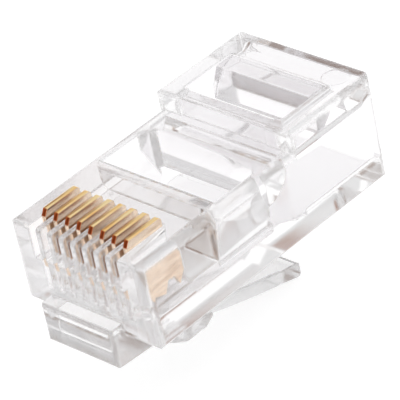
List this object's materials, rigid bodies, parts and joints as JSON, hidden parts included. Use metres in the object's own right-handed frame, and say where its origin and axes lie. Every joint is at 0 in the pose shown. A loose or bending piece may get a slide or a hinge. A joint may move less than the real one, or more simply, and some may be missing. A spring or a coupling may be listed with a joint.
{
  "type": "modular plug",
  "caption": "Clear snap-in data plug with a comb of gold blade contacts, a sprung latch below, a wire pocket and a bevelled cable entry with a jacket bar.",
  "frame": {"origin": "middle of the nose's front face, at the level of the body's underside", "axes": "+Y from the nose to the cable end, +Z from the latch side to the contact side, X across the plug"},
  "size_m": [0.0116, 0.0232, 0.0138],
  "materials": {
    "clear_plastic": "clear polished polycarbonate",
    "gold_contact": "gold flash over phosphor bronze"
  },
  "bodies": {
    "housing": {"housing": "clear_plastic"},
    "latch_arm": {"latch_arm": "clear_plastic"},
    "jacket_bar": {"jacket_bar": "clear_plastic"},
    "contact_1": {"contact_1": "gold_contact"},
    "contact_2": {"contact_2": "gold_contact"},
    "contact_3": {"contact_3": "gold_contact"},
    "contact_4": {"contact_4": "gold_contact"},
    "contact_5": {"contact_5": "gold_contact"},
    "contact_6": {"contact_6": "gold_contact"},
    "contact_7": {"contact_7": "gold_contact"},
    "contact_8": {"contact_8": "gold_contact"}
  },
  "joints": [
    {"name": "latch_hinge", "type": "hinge", "parent": "housing", "child": "latch_arm", "pos_m": [0, 0.0022, -0.001], "axis": [1, 0, 0], "range_deg": [0, 14], "stiffness_Nm_per_rad": 0.05},
    {"name": "jacket_bar_hinge", "type": "hinge", "parent": "housing", "child": "jacket_bar", "pos_m": [0, 0.01935, 0.00754], "axis": [1, 0, 0], "range_deg": [0, 35]},
    {"name": "contact_1_crimp", "type": "slide", "parent": "housing", "child": "contact_1", "axis": [0, 0, -1], "range_m": [0, 0.0011]},
    {"name": "contact_2_crimp", "type": "slide", "parent": "housing", "child": "contact_2", "axis": [0, 0, -1], "range_m": [0, 0.0011]},
    {"name": "contact_3_crimp", "type": "slide", "parent": "housing", "child": "contact_3", "axis": [0, 0, -1], "range_m": [0, 0.0011]},
    {"name": "contact_4_crimp", "type": "slide", "parent": "housing", "child": "contact_4", "axis": [0, 0, -1], "range_m": [0, 0.0011]},
    {"name": "contact_5_crimp", "type": "slide", "parent": "housing", "child": "contact_5", "axis": [0, 0, -1], "range_m": [0, 0.0011]},
    {"name": "contact_6_crimp", "type": "slide", "parent": "housing", "child": "contact_6", "axis": [0, 0, -1], "range_m": [0, 0.0011]},
    {"name": "contact_7_crimp", "type": "slide", "parent": "housing", "child": "contact_7", "axis": [0, 0, -1], "range_m": [0, 0.0011]},
    {"name": "contact_8_crimp", "type": "slide", "parent": "housing", "child": "contact_8", "axis": [0, 0, -1], "range_m": [0, 0.0011]}
  ]
}
